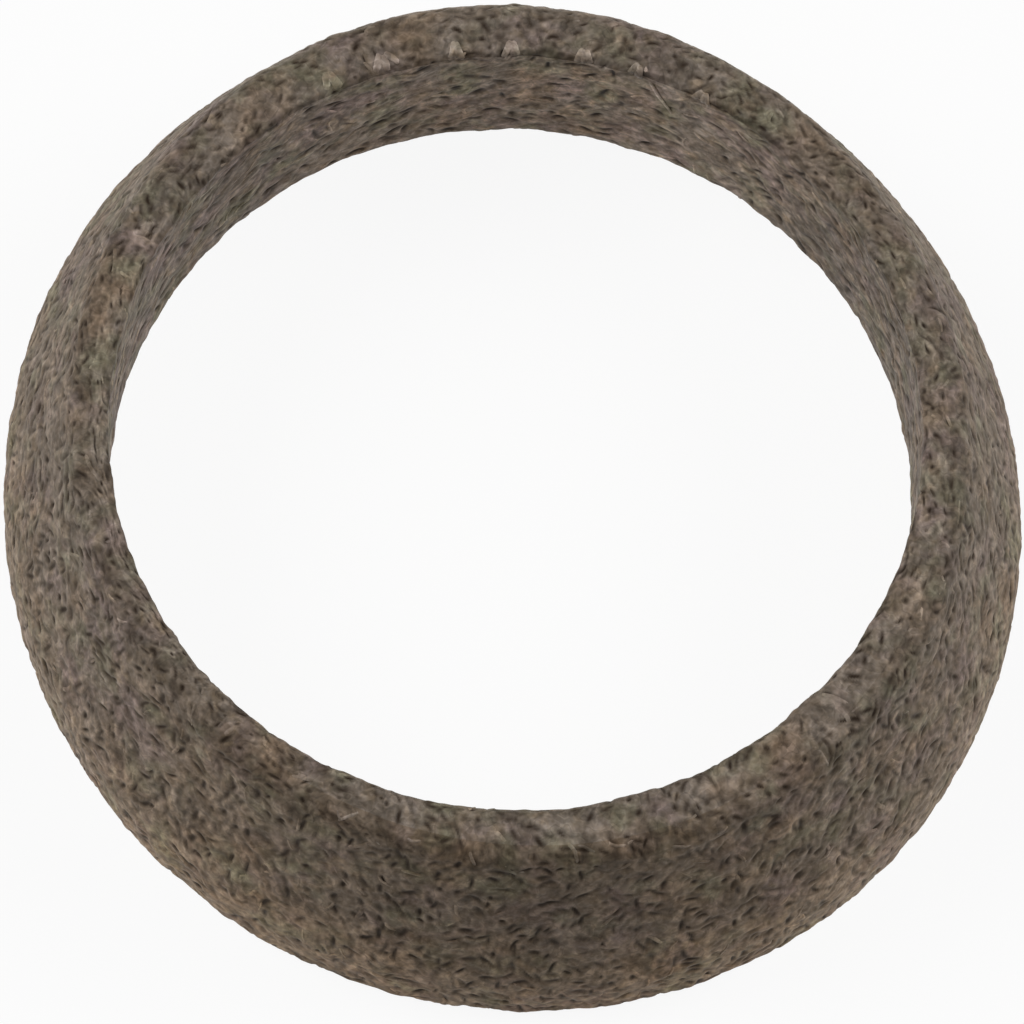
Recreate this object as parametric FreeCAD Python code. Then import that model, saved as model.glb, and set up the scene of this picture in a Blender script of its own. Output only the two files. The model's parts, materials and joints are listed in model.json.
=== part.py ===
import FreeCAD, Part
import math
import os

# Exhaust pipe seal ring, pressed in one piece from knitted steel wire and graphite.
# Its bore slides over the pipe end, and its tapered seat fits the flared mouth of the next pipe.
# The origin is at the middle of the flat base, and +Z points out of the small end.

# Sizes in millimetres
bore_diameter = 51.0
ring_height = 16.0
# Radial width of the wall at the base
base_width = 7.5
# Flat top, from the bore to the start of the crest
land_width = 2.0
# Straight side that stands on the base
skirt_height = 2.5
# Rounding between the skirt and the seat
seat_blend_radius = 10.0
# Rounding between the seat and the flat top
crest_radius = 1.5
# Small chamfers round the outside of the base and round the mouth of the bore at the small end
base_chamfer = 0.6
mouth_chamfer = 0.4
# Widening of the bore at the base, which leads the ring over the pipe end
lead_in_height = 4.4
lead_in_width = 2.0
# The outside is pressed a little out of round, while the bore stays true to the pipe.
# The stretch is the gain in radius along the long direction, in degrees from X, and the loss across it.
outside_stretch = 0.68
stretch_direction = 114
# How far a shape reaches past a face that is cut away, or that the boring tool leaves through
reach = 1.0

# In degrees
quarter_turn = 90
half_turn = 180

bore_radius = bore_diameter / 2
outer_radius = bore_radius + base_width
bore_axis = FreeCAD.Vector(0, 0, 1)
middle_of_base = FreeCAD.Vector(0, 0, 0)


def point(radius, height):
    """A point of the ring's section, which lies in the XZ plane."""
    return FreeCAD.Vector(radius, 0, height)


def on_circle(centre, radius, angle):
    """The point of a circle at an angle in radians, where 0 points outwards and a quarter turn points up."""
    return centre + point(radius * math.cos(angle), radius * math.sin(angle))


def rounding(centre, radius, start_angle, end_angle):
    """An arc of the section about a centre."""
    start = on_circle(centre, radius, start_angle)
    middle = on_circle(centre, radius, (start_angle + end_angle) / 2)
    end = on_circle(centre, radius, end_angle)
    return Part.Arc(start, middle, end).toShape()


def straights(points):
    """The straight stretches of the section through a row of points."""
    return [Part.LineSegment(start, end).toShape() for start, end in zip(points, points[1:])]


def seat_tilt(blend_centre, crest_centre):
    """The upward tilt, in radians, of the face that touches both the blend's and the crest's circle."""
    offset = crest_centre - blend_centre
    direction = math.atan2(offset.z, offset.x)
    return direction - math.acos((seat_blend_radius - crest_radius) / offset.Length)


def wall_section():
    """The wall before the bore is cut: from inside the bore round the outside and back over the top."""
    level = 0
    upright = math.pi / 2
    blend_centre = point(outer_radius - seat_blend_radius, skirt_height)
    crest_centre = point(bore_radius + land_width, ring_height - crest_radius)
    tilt = seat_tilt(blend_centre, crest_centre)
    seat_blend = rounding(blend_centre, seat_blend_radius, level, tilt)
    crest = rounding(crest_centre, crest_radius, tilt, upright)

    inside = bore_radius - outside_stretch - reach
    base_and_skirt = straights([
        point(inside, 0),
        point(outer_radius - base_chamfer, 0),
        point(outer_radius, base_chamfer),
        seat_blend.firstVertex().Point,
    ])
    seat = straights([seat_blend.lastVertex().Point, crest.firstVertex().Point])
    land = straights([crest.lastVertex().Point, point(inside, ring_height), point(inside, 0)])
    return Part.Face(Part.Wire(base_and_skirt + [seat_blend] + seat + [crest] + land))


def wall_quarter(direction, centre_distance):
    """A quarter of the wall about its own centre, which lies at a distance towards its middle direction.

    The quarter's radius makes up for that distance, so that all four quarters meet without a step.
    """
    along = math.radians(direction)
    centre = FreeCAD.Vector(math.cos(along), math.sin(along), 0) * centre_distance
    radius_gain = -centre_distance / math.sqrt(2)
    section = wall_section().translated(point(radius_gain, 0))
    quarter = section.revolve(middle_of_base, bore_axis, quarter_turn)
    quarter.rotate(middle_of_base, bore_axis, direction - quarter_turn / 2)
    return quarter.translated(centre)


def pressed_wall():
    """Four quarters that make the outside slightly oval: two tighter at its ends, two flatter at its sides."""
    centre_distance = outside_stretch * (2 + math.sqrt(2))
    quarters = []
    for end in (stretch_direction, stretch_direction + half_turn):
        quarters.append(wall_quarter(end, centre_distance))
        quarters.append(wall_quarter(end + quarter_turn, -centre_distance))
    return quarters[0].multiFuse(quarters[1:])


def bore_tool():
    """What the bore takes away: the lead-in at the base, the bore itself and the chamfer of its mouth."""
    lead_in_slope = lead_in_width / lead_in_height
    section = straights([
        point(0, -reach),
        point(bore_radius + lead_in_width + lead_in_slope * reach, -reach),
        point(bore_radius, lead_in_height),
        point(bore_radius, ring_height - mouth_chamfer),
        point(bore_radius + mouth_chamfer + reach, ring_height + reach),
        point(0, ring_height + reach),
        point(0, -reach),
    ])
    return Part.Face(Part.Wire(section)).revolve(middle_of_base, bore_axis, 2 * half_turn)


def seal_ring():
    """The ring: its pressed wall with the bore cut true through it, and the base and the top each one face."""
    return pressed_wall().cut(bore_tool()).removeSplitter()


os.makedirs("parts", exist_ok=True)
seal_ring().exportStep("parts/seal_ring.step")
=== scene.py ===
import json
import math
from collections import namedtuple

import bpy
import numpy as np
from mathutils import Matrix, Vector


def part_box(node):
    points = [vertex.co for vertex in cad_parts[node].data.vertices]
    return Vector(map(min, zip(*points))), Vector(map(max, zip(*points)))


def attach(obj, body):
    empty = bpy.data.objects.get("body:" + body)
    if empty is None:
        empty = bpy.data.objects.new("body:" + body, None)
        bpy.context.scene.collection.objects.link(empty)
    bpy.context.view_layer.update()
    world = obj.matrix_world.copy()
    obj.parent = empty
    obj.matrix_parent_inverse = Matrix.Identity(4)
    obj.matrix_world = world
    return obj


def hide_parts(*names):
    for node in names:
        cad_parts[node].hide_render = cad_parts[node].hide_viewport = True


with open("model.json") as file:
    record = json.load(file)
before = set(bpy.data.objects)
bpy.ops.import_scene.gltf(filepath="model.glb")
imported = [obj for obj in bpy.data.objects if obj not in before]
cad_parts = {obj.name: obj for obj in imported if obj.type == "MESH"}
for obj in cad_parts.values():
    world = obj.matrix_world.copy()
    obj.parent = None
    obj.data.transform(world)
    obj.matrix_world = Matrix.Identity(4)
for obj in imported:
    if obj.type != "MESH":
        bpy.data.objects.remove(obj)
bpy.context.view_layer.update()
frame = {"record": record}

random = np.random.default_rng(913)

# Sizes of the ring's section in metres, as in the construction.
# The bore, the height and the mean outside come from the frame.
MM = 0.001
box_low, box_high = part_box("seal_ring")
mounts = {mount["name"]: mount for mount in frame["record"]["mounts"]}
bore_radius = mounts["bore"]["dims"]["r_mm"] * MM
outer_radius = (box_high.x - box_low.x + box_high.y - box_low.y) / 4
ring_height = box_high.z
land_width = 2.0 * MM
skirt_height = 2.5 * MM
seat_blend_radius = 10.0 * MM
crest_radius = 1.5 * MM
base_chamfer = 0.6 * MM
mouth_chamfer = 0.4 * MM
lead_in_height = 4.4 * MM
lead_in_width = 2.0 * MM

# The outside is a little out of round, as in the construction, and a little off centre.
# The bore stays true.
outside_stretch = 0.68 * MM
stretch_direction = math.radians(114)
outside_shift = 0.24 * MM
shift_direction = math.radians(5)

# Height and width of the broad and of the small bumps and hollows all over it
unevenness = 0.05 * MM
unevenness_width = 1.6 * MM
lumpiness = 0.03 * MM
lumpiness_width = 0.6 * MM

# Knitted wire, pressed flat, and how far the pressed mass between the wires lies below them
wire_width = 0.33 * MM
wire_thickness = 0.05 * MM
relief = 0.06 * MM
pore_depth = 0.12 * MM

# End loops of the knitted wire, pressed flat in pairs along the mouth of the bore at the back
loop_count = 7
first_loop = math.radians(121.2)
loop_pair_step = math.radians(18)
loop_gap = math.radians(7.9)
loop_wires = np.array([-24, 0, 24])
loop_start = -0.6 * MM
loop_length = 1.45 * MM

# The one loose wire end, which starts at the last loop but one and hangs down the bore
loose_start = -1.2 * MM
loose_length = 7.0 * MM
loose_lean = 25
loose_aside = 0.1 * MM

# Where the finish of the land gives way to that of the bore, below the mouth's chamfer
mouth_depth = 0.6 * MM


def arc_points(centre, radius, start_angle, end_angle, steps=24):
    """Points of an arc in the section, given as (radius from the axis, height)."""
    angles = np.linspace(start_angle, end_angle, steps)
    return [(centre[0] + radius * math.cos(a), centre[1] + radius * math.sin(a)) for a in angles]


def section_corners():
    """The section's outline: the base, the outside, over the top and down the bore."""
    blend = (outer_radius - seat_blend_radius, skirt_height)
    crest = (bore_radius + land_width, ring_height - crest_radius)
    across, up = crest[0] - blend[0], crest[1] - blend[1]
    turn = math.acos((seat_blend_radius - crest_radius) / math.hypot(across, up))
    tilt = math.atan2(up, across) - turn
    return {
        "base": [(bore_radius + lead_in_width, 0), (outer_radius - base_chamfer, 0)],
        "skirt": [(outer_radius, base_chamfer)] + arc_points(blend, seat_blend_radius, 0, tilt),
        "seat": arc_points(crest, crest_radius, tilt, math.pi / 2),
        "land": [(bore_radius + mouth_chamfer, ring_height)],
        "bore": [(bore_radius, ring_height - mouth_chamfer), (bore_radius, lead_in_height)],
    }


class Section:
    """The ring's section as an evenly stepped closed line, with outward normals."""

    step = 0.05 * MM
    softening = 0.12 * MM

    def __init__(self):
        corners, ends = [], {}
        for name, points in section_corners().items():
            corners += points
            ends[name] = len(corners) - 1
        line = np.array(corners + corners[:1], float)
        run = np.concatenate([[0], np.cumsum(np.hypot(*np.diff(line, axis=0).T))])
        self.length = run[-1]
        self.ends = {name: run[i] for name, i in ends.items()}
        count = int(round(self.length / self.step))
        self.at = np.arange(count + 1) * self.length / count
        even = np.stack([np.interp(self.at[:-1], run, line[:, i]) for i in (0, 1)], axis=1)
        soft = self.soften(even, count)
        along = np.roll(soft, -1, axis=0) - np.roll(soft, 1, axis=0)
        along /= np.linalg.norm(along, axis=1)[:, None]
        normal = np.stack([along[:, 1], -along[:, 0]], axis=1)
        self.line = np.concatenate([soft, soft[:1]])
        self.normal = np.concatenate([normal, normal[:1]])

    def soften(self, points, count):
        """Rounds the sharp corners a little, as pressing does."""
        reach = int(4 * self.softening / self.step)
        offsets = np.arange(-reach, reach + 1)
        weights = np.exp(-0.5 * (offsets * self.step / self.softening) ** 2)
        weights /= weights.sum()
        return sum(w * np.roll(points, -o, axis=0) for o, w in zip(offsets, weights))

    def pressed_share(self, s):
        """1 on the outside, which is out of round, and 0 in the bore, changing over the base and land."""
        names = ("base", "seat", "land")
        return np.interp(np.mod(s, self.length), [0] + [self.ends[n] for n in names], [0, 1, 1, 0])

    def lookup(self, s):
        """Radius, height and the normal's two parts at distances along the section."""
        s = np.mod(s, self.length)
        values = [np.interp(s, self.at, self.line[:, i]) for i in (0, 1)]
        return values + [np.interp(s, self.at, self.normal[:, i]) for i in (0, 1)]


section = Section()


wave_count = 24
wave_lengths = (1.5, 3.0)
wave_peak = 1.6


def waves(points, size, seed):
    """Smooth noise of about -1 to 1 at each point, with features of about the given size."""
    draws = np.random.default_rng(seed)
    directions = draws.normal(size=(wave_count, 3))
    directions /= np.linalg.norm(directions, axis=1)[:, None]
    lengths = size * draws.uniform(*wave_lengths, wave_count)
    phases = draws.uniform(0, 2 * math.pi, wave_count)
    total = np.zeros(points.shape[:-1])
    for direction, length, phase in zip(directions, lengths, phases):
        total += np.cos(points @ direction * (2 * math.pi / length) + phase)
    return total / math.sqrt(wave_count / 2) / wave_peak


def surface(s, theta, lift):
    """Points of the ring at distances s along the section and angles theta, raised by lift."""
    radius, height, normal_out, normal_up = section.lookup(s)
    stretch = outside_stretch * np.cos(2 * (theta - stretch_direction))
    shift = outside_shift * np.cos(theta - shift_direction)
    flat = np.stack([radius * np.cos(theta), radius * np.sin(theta), height], axis=-1)
    lift = lift + unevenness * waves(flat, unevenness_width, seed=1)
    lift = lift + lumpiness * waves(flat, lumpiness_width, seed=2)
    radius = radius + normal_out * lift + section.pressed_share(s) * (stretch + shift)
    height = np.maximum(height + normal_up * lift, 0)
    return np.stack([radius * np.cos(theta), radius * np.sin(theta), height], axis=-1)


def mark_crisp(mesh, width, lines):
    """Makes the edges crisp along the given lines of a mesh, whose points come in rows of one width."""
    ends = np.empty(len(mesh.edges) * 2, np.int32)
    mesh.edges.foreach_get("vertices", ends)
    line = ends.reshape(-1, 2) % width
    crisp = (line[:, 0] == line[:, 1]) & np.isin(line[:, 0], lines)
    sharp = mesh.attributes.new("sharp_edge", "BOOLEAN", "EDGE")
    sharp.data.foreach_set("value", crisp)


def make_mesh(name, points, faces, layers):
    """A smooth-shaded mesh object of four-cornered faces, with named values for each point."""
    mesh = bpy.data.meshes.new(name)
    points = points.reshape(-1, 3)
    corners = faces.shape[1]
    mesh.vertices.add(len(points))
    mesh.vertices.foreach_set("co", points.astype(np.float32).ravel())
    mesh.loops.add(faces.size)
    mesh.loops.foreach_set("vertex_index", faces.astype(np.int32).ravel())
    mesh.polygons.add(len(faces))
    mesh.polygons.foreach_set("loop_start", np.arange(len(faces), dtype=np.int32) * corners)
    mesh.update(calc_edges=True)
    mesh.shade_smooth()
    for layer_name, values in layers.items():
        layer = mesh.attributes.new(layer_name, "FLOAT", "POINT")
        layer.data.foreach_set("value", values.astype(np.float32).ravel())
    obj = bpy.data.objects.new(name, mesh)
    bpy.context.scene.collection.objects.link(obj)
    return obj


# The stretches of the surface, each with its own run of wires and pores

class Zone:
    """One stretch of the surface, with how its wires and pores lie.

    Wires, loose strands and pores are counts per square mm, and pores are measured in mm.
    Lean and swirl are in degrees from the way round the ring. Relief is a share of the full one.
    """

    wires = 3.4
    loose = 0.25
    relief = 1.0
    pores = 1.8
    lean = 55
    swirl = 60
    pore_length = 0.8
    pore_width = 0.36

    def __init__(self, name, start, end, **own):
        self.name, self.start, self.end = name, start, end
        for key, value in own.items():
            setattr(self, key, value)


def make_zones():
    """The stretches in the order of the section's outline."""
    ends = section.ends
    seat_end = ends["seat"] - crest_radius * 1.2
    seat_middle = (ends["skirt"] + seat_end) / 2
    mouth = ends["land"] + mouth_depth
    lead_in = ends["bore"]
    base = {"wires": 1.6, "loose": 0.1, "relief": 0.8, "pores": 0.6, "lean": 45, "swirl": 40}
    skirt = {"pores": 1.7, "lean": 50, "pore_width": 0.34}
    land = {"loose": 0.3, "relief": 0.9, "pores": 2.6, "lean": 14, "swirl": 45, "pore_length": 0.6}
    bore = {"loose": 0.2, "relief": 0.3, "pores": 0.8, "lean": 12, "swirl": 40, "pore_length": 0.9}
    return [
        Zone("base", 0.0, ends["base"], pore_width=0.32, **base),
        Zone("skirt", ends["base"], ends["skirt"], swirl=55, **skirt),
        Zone("seat_low", ends["skirt"], seat_middle),
        Zone("seat_high", seat_middle, seat_end),
        Zone("land", seat_end, mouth, pore_width=0.28, **land),
        Zone("bore", mouth, lead_in, pore_width=0.42, **bore),
        Zone("lead_in", lead_in, section.length, wires=1.8, pore_width=0.42, **bore),
    ]


zones = make_zones()


def scatter(zone, per_square_mm):
    """Places all over a zone, one in each cell of an even grid."""
    spacing = MM / math.sqrt(per_square_mm)
    mean_radius = section.lookup(np.linspace(zone.start, zone.end, 50))[0].mean()
    rows = max(1, round((zone.end - zone.start) / spacing))
    turns = round(2 * math.pi * mean_radius / spacing)
    row, turn = [grid.ravel() for grid in np.meshgrid(np.arange(rows), np.arange(turns))]
    s = zone.start + (row + random.random(row.size)) / rows * (zone.end - zone.start)
    theta = (turn + random.random(row.size)) / turns * 2 * math.pi
    return s, theta


swirl_width = 2.5 * MM
side_width = 1.5 * MM


def headings(zone, s, theta, spread):
    """Directions that change smoothly over the zone. Zero is round the ring, a quarter turn up its side."""
    flow = waves(surface(s, theta, 0), swirl_width, seed=7)
    side = np.where(waves(surface(s, theta, 0), side_width, seed=8) > 0, 1, -1)
    return np.radians(zone.lean * side + zone.swirl * flow + random.normal(0, spread, s.size))


# Wires and pores pressed into the surface. Spreads are in degrees, bends per mm, and the wires' lengths
# in mm. The other ranges are shares of the usual size.

relief_turns = 3600
relief_cell = 0.05 * MM
wire_spread = 16
wire_lengths = (1.2, 3.0)
wire_widths = (0.8, 1.4)
wire_bend = 0.45
wire_end_drop = 0.8
level_share = 0.6
pore_spread = 20
pore_lengths = (0.5, 1.7)
pore_widths = (0.65, 1.3)
pore_bend = 0.5


class ReliefMap:
    """The pressed surface on a fine grid: its height, its wires' tones and edges, and its pores."""

    def __init__(self):
        self.rows = round(section.length / relief_cell)
        shape = (self.rows, relief_turns)
        self.height = np.zeros(shape, np.float32)
        self.tone = np.zeros(shape, np.float32)
        self.edge = np.ones(shape, np.float32)
        self.pore = np.zeros(shape, np.float32)
        for zone in zones:
            self.press_wires(zone)
            self.press_pores(zone)
        self.soften()

    def press_wires(self, zone):
        s, theta = scatter(zone, zone.wires)
        angle = headings(zone, s, theta, wire_spread)
        length = random.uniform(*wire_lengths, s.size) * MM
        width = wire_width * random.uniform(*wire_widths, s.size)
        bend = random.normal(0, wire_bend, s.size) / MM
        level = random.random(s.size)
        tone = random.normal(0, 1, s.size)
        radius = section.lookup(s)[0]
        for wire in zip(s, theta, radius, angle, length, width, bend, level, tone):
            self.press_wire(zone.relief, *wire)

    def press_wire(self, share, s, theta, radius, angle, length, width, bend, level, tone):
        """Lays one rounded wire over what is there, at its own level, with its ends going down."""
        place, along, across = self.around(s, theta, radius, angle, length, width, bend)
        edge = np.minimum(1, (2 * across / width) ** 2)
        height = share * (level_share * level + (1 - level_share) * np.sqrt(1 - edge))
        height = height - wire_end_drop * (2 * along / length) ** 4
        over = (edge < 1) & (height > self.height[place])
        for layer, value in ((self.height, height), (self.tone, tone), (self.edge, edge)):
            layer[place] = np.where(over, value, layer[place])

    def press_pores(self, zone):
        """Presses in the pores of one zone, most of them shallow and a few deep."""
        s, theta = scatter(zone, zone.pores)
        angle = headings(zone, s, theta, pore_spread)
        length = zone.pore_length * random.uniform(*pore_lengths, s.size) * MM
        width = zone.pore_width * random.uniform(*pore_widths, s.size) * MM
        bend = random.normal(0, pore_bend, s.size) / MM
        strength = 0.2 + 0.9 * random.random(s.size) ** 1.5
        radius = section.lookup(s)[0]
        for pore in zip(s, theta, radius, angle, length, width, bend, strength):
            self.press_pore(*pore)

    def press_pore(self, s, theta, radius, angle, length, width, bend, strength):
        """Presses one long pore into the grid."""
        place, along, across = self.around(s, theta, radius, angle, length + width, width, bend)
        shape = strength * np.exp(-np.abs(2 * along / length) ** 3 - (2 * across / width) ** 2)
        self.pore[place] = np.maximum(self.pore[place], shape)

    def around(self, s, theta, radius, angle, length, width, bend):
        """The cells around a place, with their distances along and across a bent line through it."""
        step = section.length / self.rows
        turn_step = 2 * math.pi / relief_turns
        reach = length / 2 + width
        rows = np.arange(int((s - reach) / step), int((s + reach) / step) + 1)
        side = reach / radius
        turns = np.arange(int((theta - side) / turn_step), int((theta + side) / turn_step) + 1)
        v = (rows * step - s)[:, None]
        u = ((turns * turn_step - theta) * radius)[None, :]
        along = u * math.cos(angle) + v * math.sin(angle)
        across = v * math.cos(angle) - u * math.sin(angle) - bend * along**2 / 2
        return np.ix_(rows % self.rows, turns % relief_turns), along, across

    def soften(self):
        """Wears the wires' edges down a little, twice each way."""
        for axis in (0, 1, 0, 1):
            for layer in (self.height, self.tone, self.edge):
                layer[:] = (np.roll(layer, 1, axis) + 2 * layer + np.roll(layer, -1, axis)) / 4

    def lookup(self, layer, s, theta):
        """A layer's values at distances along the section and angles, blended between the cells."""
        row = np.mod(s / section.length, 1) * self.rows
        turn = np.mod(theta / (2 * math.pi), 1) * relief_turns
        row_low, turn_low = row.astype(int), turn.astype(int)
        row_part, turn_part = row - row_low, turn - turn_low
        total = 0
        for i, row_share in ((0, 1 - row_part), (1, row_part)):
            for j, turn_share in ((0, 1 - turn_part), (1, turn_part)):
                cells = layer[(row_low + i) % self.rows, (turn_low + j) % relief_turns]
                total = total + cells * row_share * turn_share
        return total


pressing = ReliefMap()


# The pressed mass of the ring, in slices that meet at a circle inside the wall

slice_centre = (bore_radius + 2.7 * MM, 7 * MM)


def mass_mesh(name, start, end, rows, turns):
    """One closed slice of the ring: its stretch of the surface, joined to the circle inside the wall."""
    s, theta = np.meshgrid(np.linspace(start, end, rows), np.arange(turns) / turns * 2 * math.pi)
    height, pore = [pressing.lookup(layer, s, theta) for layer in (pressing.height, pressing.pore)]
    tone, edge = [pressing.lookup(layer, s, theta) for layer in (pressing.tone, pressing.edge)]
    points = surface(s, theta, relief * (height - 1) - pore_depth * pore)
    inner = [slice_centre[0] * np.cos(theta[:, 0]), slice_centre[0] * np.sin(theta[:, 0])]
    inner = np.stack(inner + [np.full(turns, slice_centre[1])], axis=-1)
    points = np.concatenate([points, inner[:, None, :]], axis=1)
    none = np.zeros((turns, 1))
    layers = {"tone": tone, "edge": edge, "pore": pore}
    layers = {layer: np.concatenate([values, none], axis=1) for layer, values in layers.items()}
    width = rows + 1
    row, turn = np.meshgrid(np.arange(width), np.arange(turns))
    next_row, next_turn = (row + 1) % width, (turn + 1) % turns
    corners = [(turn, row), (next_turn, row), (next_turn, next_row), (turn, next_row)]
    faces = np.stack([(t * width + r).ravel() for t, r in corners], axis=1)
    obj = make_mesh(name, points, faces, layers)
    mark_crisp(obj.data, width, [0, rows - 1])
    return obj


slice_turns = 1560
base_turns = 620


def all_mass():
    """The slices, finer where the surface shows."""
    ends = section.ends
    skirt_end = ends["skirt"] + 0.4 * MM
    seat_middle = (skirt_end + ends["seat"]) / 2
    mouth = ends["land"] + mouth_depth
    bore_middle = (mouth + ends["bore"]) / 2
    base_end = section.length + ends["base"]
    return [
        mass_mesh("mass_skirt", ends["base"], skirt_end, rows=58, turns=slice_turns),
        mass_mesh("mass_seat_low", skirt_end, seat_middle, rows=50, turns=slice_turns),
        mass_mesh("mass_seat_high", seat_middle, ends["seat"], rows=50, turns=slice_turns),
        mass_mesh("mass_land", ends["seat"], mouth, rows=20, turns=slice_turns),
        mass_mesh("mass_bore_high", mouth, bore_middle, rows=50, turns=slice_turns),
        mass_mesh("mass_bore_low", bore_middle, ends["bore"], rows=40, turns=slice_turns),
        mass_mesh("mass_base", ends["bore"], base_end, rows=34, turns=base_turns),
    ]


# Loose wire strands: flattened, about level with the pressed ones, with both ends sunk into the mass.
# Lengths and tops are in mm, bends per mm and spreads in degrees. Widths are shares of the usual one.

strand_steps = 5
strand_corners = 4
strand_across = np.array([-0.5, -0.27, 0.27, 0.5])
strand_raise = np.array([0.0, 1.0, 1.0, 0.0])
strand_end = 0.14 * MM
strand_taper = 0.4
strand_spread = 25
strand_lengths = (1.2, 2.6)
strand_widths = (0.6, 1.0)
strand_tops = (-0.03, 0.01)
strand_bend = 0.5
strand_sway = 0.3
deep_pore = 0.5


def column(values):
    """Values with one row for each strand."""
    return np.asarray(values)[:, None]


def strand_paths(s_mid, theta_mid, heading, bend, sway, length):
    """Middle lines of strands: distances along the section, angles round the ring, and directions."""
    t = np.linspace(-1, 1, strand_steps + 1)
    angle = column(heading) + column(bend * length / 2) * t + column(sway) * np.sin(math.pi * t)
    u = np.cumsum(np.cos(angle), axis=1) * column(length) / strand_steps
    v = np.cumsum(np.sin(angle), axis=1) * column(length) / strand_steps
    u -= u.mean(axis=1)[:, None]
    v -= v.mean(axis=1)[:, None]
    return column(s_mid) + v, column(theta_mid) + u / column(section.lookup(s_mid)[0]), angle


def strand_mesh(name, paths, width, top, tone):
    """Strands as closed flat ribbons along their paths."""
    s, theta, angle = [part[:, :, None] for part in paths]
    t = np.linspace(-1, 1, strand_steps + 1)[None, :, None]
    width, top, tone = [np.asarray(values)[:, None, None] for values in (width, top, tone)]
    sunk = np.abs(t) ** 3
    sideways = (1 - strand_taper * sunk) * width * strand_across
    lift = top * (1 - sunk) - strand_end * sunk - wire_thickness * (1 - strand_raise)
    radius = section.lookup(s)[0]
    points = surface(s + np.cos(angle) * sideways, theta - np.sin(angle) * sideways / radius, lift)

    shape = (len(points), strand_steps + 1, strand_corners)
    index = np.arange(lift.size).reshape(shape)
    near, far = index[:, :-1, :], index[:, 1:, :]
    sides = np.stack([near, np.roll(near, -1, axis=2), np.roll(far, -1, axis=2), far], axis=-1)
    faces = np.concatenate([sides.reshape(-1, 4), index[:, 0, ::-1], index[:, -1, :]])
    obj = make_mesh(name, points, faces, {"tone": np.broadcast_to(tone, shape)})
    mark_crisp(obj.data, strand_corners, [0, strand_corners - 1])
    return obj


def zone_strands(zone):
    """The loose strands of one zone, which run between its pores."""
    s, theta = scatter(zone, zone.loose)
    count = s.size
    heading = headings(zone, s, theta, strand_spread)
    length = random.uniform(*strand_lengths, count) * MM
    bend = random.normal(0, strand_bend, count) / MM
    sway = random.normal(0, strand_sway, count)
    paths = strand_paths(s, theta, heading, bend, sway, length)
    width = wire_width * random.uniform(*strand_widths, count)
    top = random.uniform(*strand_tops, count) * MM
    tone = random.normal(0.2, 1, count)
    keep = pressing.lookup(pressing.pore, paths[0], paths[1]).max(axis=1) < deep_pore
    kept_paths = [part[keep] for part in paths]
    return strand_mesh("wires_" + zone.name, kept_paths, width[keep], top[keep], tone[keep])


loop_drop = 0.4
loop_spread = 6
loop_lengths = (0.9, 1.1)
loop_widths = (1.1, 1.5)
loop_tops = (0.04, 0.07)
loop_bend = 0.15


def loop_places():
    """Angles of the end loops round the ring."""
    index = np.arange(loop_count)
    return first_loop - loop_pair_step * (index // 2) - loop_gap * (index % 2)


def hanging_strands(name, s, theta, lean, length, width, bend, top, tone):
    """Strands that start at the given places and lead over the mouth and down the bore."""
    heading = np.radians(90 + lean)
    s = s + np.sin(heading) * length / 2
    theta = theta + np.cos(heading) * length / 2 / bore_radius
    paths = strand_paths(s, theta, heading, bend, np.zeros(s.size), length)
    return strand_mesh(name, paths, width, top, tone)


def end_loops():
    """Small fans of wire over the mouth of the bore, each wire a little lower than the one before."""
    count = loop_count * loop_wires.size
    lower = np.linspace(-loop_drop, loop_drop, count) * MM
    s = section.ends["land"] + loop_start + lower
    theta = np.repeat(loop_places(), loop_wires.size)
    lean = np.tile(loop_wires, loop_count) + random.normal(0, loop_spread, count)
    length = loop_length * random.uniform(*loop_lengths, count)
    width = wire_width * random.uniform(*loop_widths, count)
    bend = random.normal(0, loop_bend, count) / MM
    top = random.uniform(*loop_tops, count) * MM
    tone = random.normal(0, 0.8, count)
    return hanging_strands("end_loops", s, theta, lean, length, width, bend, top, tone)


def loose_end():
    """The one straight wire end that hangs down the bore."""
    values = {
        "s": section.ends["land"] + loose_start,
        "theta": loop_places()[-2] + loose_aside / bore_radius,
        "lean": loose_lean,
        "length": loose_length,
        "width": 0.9 * wire_width,
        "bend": 0,
        "top": 0.05 * MM,
        "tone": 1,
    }
    return hanging_strands("loose_end", **{key: np.array([value]) for key, value in values.items()})


# Materials

def srgb(red, green, blue):
    """A linear colour from 8-bit screen values."""
    def linear(value):
        value /= 255
        return value / 12.92 if value <= 0.04045 else ((value + 0.055) / 1.055) ** 2.4
    return (linear(red), linear(green), linear(blue), 1.0)


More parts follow.
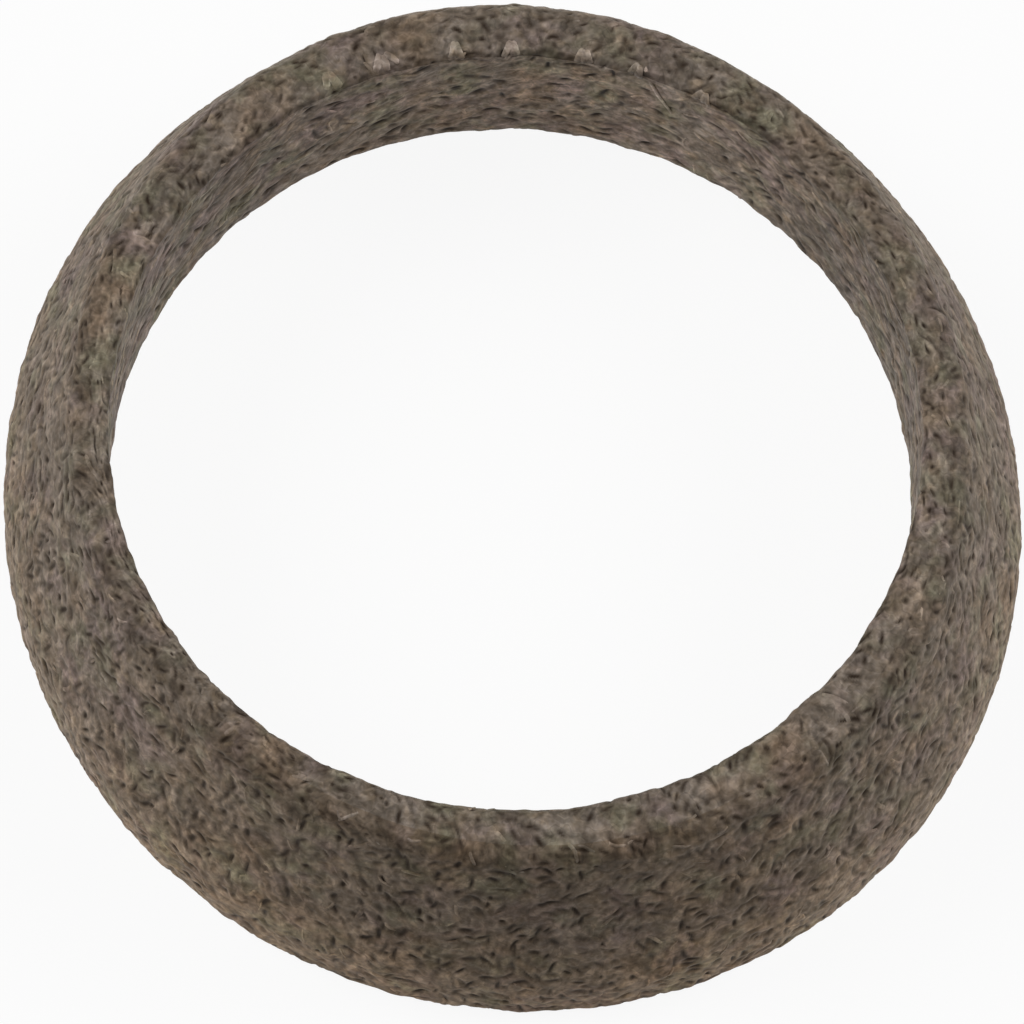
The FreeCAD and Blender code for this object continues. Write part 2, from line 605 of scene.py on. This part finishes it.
class Nodes:
    """Short calls to build a material's node tree."""

    def __init__(self, name):
        self.material = bpy.data.materials.new(name)
        self.material.use_nodes = True
        self.tree = self.material.node_tree
        self.tree.nodes.clear()
        self.place = self.add("ShaderNodeTexCoord").outputs["Object"]

    def add(self, kind, **values):
        node = self.tree.nodes.new(kind)
        for key, value in values.items():
            setattr(node, key, value)
        return node

    def link(self, source, target):
        self.tree.links.new(source, target)

    def noise(self, size, detail, shift):
        """Noise of 0 to 1 with features of about the given size in metres."""
        node = self.add("ShaderNodeTexNoise", noise_dimensions="4D")
        node.inputs["Scale"].default_value = 1 / size
        node.inputs["Detail"].default_value = detail
        node.inputs["Roughness"].default_value = 0.55
        node.inputs["W"].default_value = shift
        self.link(self.place, node.inputs["Vector"])
        return node.outputs["Fac"]

    def range(self, value, from_low, from_high, to_low, to_high):
        """The value carried over from one range to another, and held at its ends."""
        node = self.add("ShaderNodeMapRange")
        node.inputs["From Min"].default_value = from_low
        node.inputs["From Max"].default_value = from_high
        node.inputs["To Min"].default_value = to_low
        node.inputs["To Max"].default_value = to_high
        self.link(value, node.inputs["Value"])
        return node.outputs["Result"]

    def attribute(self, name, from_low, from_high, to_low, to_high):
        """A value that each point carries, carried over to another range."""
        value = self.add("ShaderNodeAttribute", attribute_name=name).outputs["Fac"]
        return self.range(value, from_low, from_high, to_low, to_high)

    def spots(self, size, low, high, shift):
        """Soft-edged spots of about one size."""
        return self.range(self.noise(size, 2, shift), low, high, 0.0, 1.0)

    def scaled(self, colour, factor):
        """The colour made lighter or darker by a number or a socket."""
        if isinstance(factor, float):
            factor = (factor, factor, factor, 1.0)
        return self.mix(1.0, colour, factor, "MULTIPLY")

    def mottled(self, colour, size, low, high, shift):
        """The colour made darker and warmer, and lighter and greyer, in spots of about one size."""
        spot = self.spots(size, 0.32, 0.68, shift)
        dark, light = (low, low * 0.97, low * 0.92, 1.0), (high, high * 1.005, high * 1.02, 1.0)
        return self.mix(1.0, colour, self.mix(spot, dark, light), "MULTIPLY")

    def filaments(self, colour, size, shift):
        """Thin curved lines, each lighter with painted shade along one side, as of fine wire pressed into
        the surface.
        """
        level = self.noise(size, 1, shift)
        for middle, strength in ((0.5, 1.12), (0.56, 0.82)):
            away = self.math("ABSOLUTE", self.math("SUBTRACT", level, middle))
            colour = self.scaled(colour, self.range(away, 0.0, 0.045, strength, 1.0))
        return colour

    def mix(self, factor, a, b, blend="MIX"):
        node = self.add("ShaderNodeMix", data_type="RGBA", blend_type=blend)
        for socket, value in ((node.inputs[0], factor), (node.inputs[6], a), (node.inputs[7], b)):
            if isinstance(value, (float, int, tuple)):
                socket.default_value = value
            else:
                self.link(value, socket)
        return node.outputs[2]

    def math(self, operation, a, b=0.0, clamp=False):
        node = self.add("ShaderNodeMath", operation=operation, use_clamp=clamp)
        for socket, value in zip(node.inputs, (a, b)):
            if isinstance(value, (float, int)):
                socket.default_value = value
            else:
                self.link(value, socket)
        return node.outputs[0]

    def bump(self, height, distance, strength):
        node = self.add("ShaderNodeBump")
        node.inputs["Strength"].default_value = strength
        node.inputs["Distance"].default_value = distance
        self.link(height, node.inputs["Height"])
        return node.outputs["Normal"]

    def finish(self, colour, roughness, specular, sheen, normal):
        shader = self.add("ShaderNodeBsdfPrincipled")
        self.link(colour, shader.inputs["Base Color"])
        self.link(roughness, shader.inputs["Roughness"])
        shader.inputs["Metallic"].default_value = 0.1
        shader.inputs["Specular IOR Level"].default_value = specular
        shader.inputs["Sheen Weight"].default_value = sheen
        shader.inputs["Sheen Roughness"].default_value = 0.45
        shader.inputs["Sheen Tint"].default_value = (1.0, 0.86, 0.7, 1.0)
        self.link(normal, shader.inputs["Normal"])
        output = self.add("ShaderNodeOutputMaterial")
        self.link(shader.outputs[0], output.inputs["Surface"])
        return self.material


# Light, warmth, roughness, gloss and sheen of each stretch of the surface

Finish = namedtuple("Finish", "name light warm roughness specular sheen")
outside_finish = Finish("outside", light=1.12, warm=0.35, roughness=0.65, specular=0.18, sheen=0.22)
land_finish = Finish("land", light=1.09, warm=0.1, roughness=0.6, specular=0.2, sheen=0.05)
bore_finish = Finish("bore", light=1.22, warm=0.0, roughness=0.6, specular=0.15, sheen=0.0)
loops_finish = Finish("loops", light=1.45, warm=0.0, roughness=0.5, specular=0.35, sheen=0.0)
end_finish = Finish("end", light=2.3, warm=0.0, roughness=0.5, specular=0.35, sheen=0.0)
base_light = 1.24
# Dark brown of the pores: graphite, deepened with painted shade
pore_graphite_and_shade = srgb(43, 31, 20)


def patches(nodes, lightness, warmth):
    """Broad patches of grey-brown, tan, purple-grey and olive, a few millimetres wide."""
    grey = nodes.mix(warmth, srgb(110, 101, 92), srgb(114, 101, 87))
    colour = nodes.mix(nodes.spots(5 * MM, 0.48, 0.7, 1.0), grey, srgb(117, 101, 85))
    colour = nodes.mix(nodes.spots(4 * MM, 0.48, 0.66, 5.0), colour, srgb(113, 100, 94))
    colour = nodes.mix(nodes.spots(3 * MM, 0.5, 0.68, 9.0), colour, srgb(109, 104, 88))
    colour = nodes.mix(nodes.spots(1.2 * MM, 0.54, 0.7, 13.0), colour, srgb(119, 106, 91))
    return nodes.scaled(colour, lightness)


def painted_outside_shading(nodes, colour):
    """Painted light and shade on the outside: lighter and warmer towards the base, darker and warmer at the
    front, and darker below the crest, most at the front, and over the crest's turn.
    """
    place = nodes.add("ShaderNodeSeparateXYZ")
    nodes.link(nodes.place, place.inputs[0])
    front = nodes.range(place.outputs["Y"], -17 * MM, -27 * MM, 0.0, 1.0)
    crest = nodes.range(place.outputs["Z"], 9.0 * MM, 13.5 * MM, 0.0, 1.0)
    rim = nodes.range(place.outputs["Z"], 8.5 * MM, 1.5 * MM, 0.0, 1.0)
    turn = nodes.range(place.outputs["Z"], 13.8 * MM, 15.4 * MM, 0.0, 1.0)
    # Painted shade at the front, below the crest and over its turn, and painted light towards the base
    shades = (
        (front, (0.99, 0.95, 0.9, 1)),
        (crest, (0.93, 0.93, 0.93, 1)),
        (nodes.math("MULTIPLY", front, crest), (0.96, 0.95, 0.93, 1)),
        (nodes.math("MULTIPLY", front, rim), (1.1, 1.08, 1.04, 1)),
        (turn, (0.84, 0.84, 0.84, 1)),
        (rim, (1.4, 1.33, 1.23, 1)),
    )
    for share, shade in shades:
        colour = nodes.mix(1.0, colour, nodes.mix(share, (1.0, 1.0, 1.0, 1), shade), "MULTIPLY")
    return colour


def painted_shading_along(nodes, colour, start, end, shade):
    """Painted light and shade: the colour made lighter or darker by a factor that changes between two
    places from the front to the back.
    """
    place = nodes.add("ShaderNodeSeparateXYZ")
    nodes.link(nodes.place, place.inputs[0])
    return nodes.scaled(colour, nodes.range(place.outputs["Y"], start, end, 1.0, shade))


def ring_material(finish):
    """Grey-brown wire and graphite, with a tone for each wire, dark brown pores that are partly painted
    shade, and painted light and shade by place on the ring.
    """
    nodes = Nodes("pressed_" + finish.name)
    colour = patches(nodes, base_light * finish.light, finish.warm)
    if finish is outside_finish:
        # Painted light and shade by place on the outside
        colour = painted_outside_shading(nodes, colour)
    if finish is bore_finish:
        # Painted light on the far wall of the bore, lighter towards the back
        colour = painted_shading_along(nodes, colour, 18 * MM, 25.5 * MM, 2.05)
    if finish is land_finish:
        # Painted shade on the land, darker towards the back and at the front
        colour = painted_shading_along(nodes, colour, 5 * MM, 20 * MM, 0.85)
        colour = painted_shading_along(nodes, colour, -17 * MM, -25 * MM, 0.88)
    colour = nodes.mottled(colour, 1.3 * MM, 0.7, 1.22, 3.0)
    colour = nodes.mottled(colour, 0.6 * MM, 0.62, 1.3, 4.0)
    colour = nodes.mottled(colour, 0.3 * MM, 0.9, 1.08, 6.0)
    # Fine wire as lighter lines, each with painted shade along one side
    colour = nodes.filaments(colour, 0.8 * MM, 11.0)
    colour = nodes.filaments(colour, 1.1 * MM, 12.0)
    colour = nodes.scaled(colour, nodes.attribute("tone", -2.0, 2.0, 0.72, 1.26))
    # Painted light and shade on the wires: lighter along their middles, darker at their edges and between
    # them
    colour = nodes.scaled(colour, nodes.attribute("edge", 0.0, 1.0, 1.15, 0.7))
    # Pores in dark brown, partly graphite and partly painted shade
    colour = nodes.mix(nodes.attribute("pore", 0.05, 0.9, 0.0, 1.0), colour, pore_graphite_and_shade)
    grain = nodes.noise(0.5 * MM, 2, shift=3.0)
    rough = nodes.range(grain, 0.3, 0.7, finish.roughness - 0.08, finish.roughness + 0.12)
    normal = nodes.bump(nodes.noise(0.5 * MM, 1, shift=7.0), distance=0.04 * MM, strength=0.5)
    return nodes.finish(colour, rough, finish.specular, finish.sheen, normal)


# Build the ring

def dress(piece, material):
    """Gives a piece its finish and lets it ride with the ring."""
    piece.data.materials.append(material)
    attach(piece, "root")


def finish_of(piece):
    """The finish of the stretch of surface that a piece's name gives."""
    part = piece.name.split("_")[1]
    inner = {"land": land_finish, "bore": bore_finish, "lead": bore_finish}
    inner.update({"loops": loops_finish, "end": end_finish})
    return inner.get(part, outside_finish)


finishes = (outside_finish, land_finish, bore_finish, loops_finish, end_finish)
materials = {finish: ring_material(finish) for finish in finishes}
for piece in all_mass():
    dress(piece, materials[finish_of(piece)])
    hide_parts("seal_ring")
for piece in [zone_strands(zone) for zone in zones] + [end_loops(), loose_end()]:
    dress(piece, materials[finish_of(piece)])


# Floor, light and camera

def nearly_white(nodes, shader, white):
    """Shows a shader as is to bounced light, and blended towards white to the camera and to reflections."""
    path = nodes.add("ShaderNodeLightPath")
    seen = nodes.math("ADD", path.outputs["Is Camera Ray"], path.outputs["Is Glossy Ray"])
    seen = nodes.math("ADD", seen, path.outputs["Is Transmission Ray"], clamp=True)
    seen = nodes.math("MULTIPLY", seen, white)
    glow = nodes.add("ShaderNodeEmission")
    mix = nodes.add("ShaderNodeMixShader")
    nodes.link(seen, mix.inputs[0])
    nodes.link(shader.outputs[0], mix.inputs[1])
    nodes.link(glow.outputs[0], mix.inputs[2])
    return mix


def make_floor():
    """A pale floor that takes the ring's shadow and looks nearly white."""
    half = 3.0
    mesh = bpy.data.meshes.new("floor")
    corners = [(x * half, y * half, 0) for x, y in ((-1, -1), (1, -1), (1, 1), (-1, 1))]
    mesh.from_pydata(corners, [], [(0, 1, 2, 3)])
    floor = bpy.data.objects.new("floor", mesh)
    bpy.context.scene.collection.objects.link(floor)
    nodes = Nodes("pale_floor")
    paper = nodes.add("ShaderNodeBsdfDiffuse")
    paper.inputs["Color"].default_value = (0.8, 0.8, 0.8, 1)
    output = nodes.add("ShaderNodeOutputMaterial")
    nodes.link(nearly_white(nodes, paper, white=0.92).outputs[0], output.inputs["Surface"])
    mesh.materials.append(nodes.material)


def make_world():
    """Dim, even, grey light from all round, which the lamps and the floor outshine."""
    world = bpy.data.worlds.new("studio")
    bpy.context.scene.world = world
    world.use_nodes = True
    tree = world.node_tree
    back = tree.nodes["Background"]
    path = tree.nodes.new("ShaderNodeLightPath")
    seen = tree.nodes.new("ShaderNodeMath")
    seen.operation = "ADD"
    tree.links.new(path.outputs["Is Camera Ray"], seen.inputs[0])
    tree.links.new(path.outputs["Is Transmission Ray"], seen.inputs[1])
    level = tree.nodes.new("ShaderNodeMapRange")
    level.inputs["To Min"].default_value = 0.94
    level.inputs["To Max"].default_value = 1.0
    tree.links.new(seen.outputs[0], level.inputs["Value"])
    tree.links.new(level.outputs["Result"], back.inputs["Strength"])


lamp_distance = 0.6
lamp_size = 0.35


def make_lamp(name, azimuth, elevation, power):
    """A square soft lamp that points at the ring. Azimuth 0 is the camera's side and 90 the right."""
    lamp = bpy.data.lights.new(name, "AREA")
    lamp.size = lamp_size
    lamp.energy = power
    obj = bpy.data.objects.new(name, lamp)
    a, e = math.radians(azimuth), math.radians(elevation)
    towards = Vector((math.sin(a) * math.cos(e), -math.cos(a) * math.cos(e), math.sin(e)))
    obj.location = towards * lamp_distance
    obj.rotation_euler = towards.to_track_quat("Z", "Y").to_euler()
    obj.visible_camera = False
    bpy.context.scene.collection.objects.link(obj)


def make_camera():
    """The photograph's view: from high in front, turned a little, through a long lens."""
    elevation, roll = math.radians(67.78), math.radians(5.13)
    picture_width, focal_length = 1024, 10000
    pixels_per_mm = 15.603
    pixel = MM / pixels_per_mm
    distance = focal_length * pixel
    aside, above = 4.2 * pixel, 8.7 * pixel
    upright = Vector((0, math.sin(elevation), math.cos(elevation)))
    level = Vector((1, 0, 0))
    back = Vector((0, -math.cos(elevation), math.sin(elevation)))
    right = level * math.cos(roll) + upright * math.sin(roll)
    up = upright * math.cos(roll) - level * math.sin(roll)
    lens = bpy.data.cameras.new("camera")
    lens.sensor_width = 36
    lens.lens = lens.sensor_width * focal_length / picture_width
    lens.clip_start, lens.clip_end = 0.05, 10
    camera = bpy.data.objects.new("camera", lens)
    place = Matrix.Translation(back * distance + right * aside + up * above)
    camera.matrix_world = place @ Matrix((right, up, back)).transposed().to_4x4()
    bpy.context.scene.collection.objects.link(camera)
    bpy.context.scene.camera = camera


make_floor()
make_world()
make_lamp("lamp_left", azimuth=-97, elevation=45, power=2.6)
make_lamp("lamp_right", azimuth=108, elevation=38, power=2.3)
make_camera()
bpy.context.scene.view_settings.view_transform = "Standard"
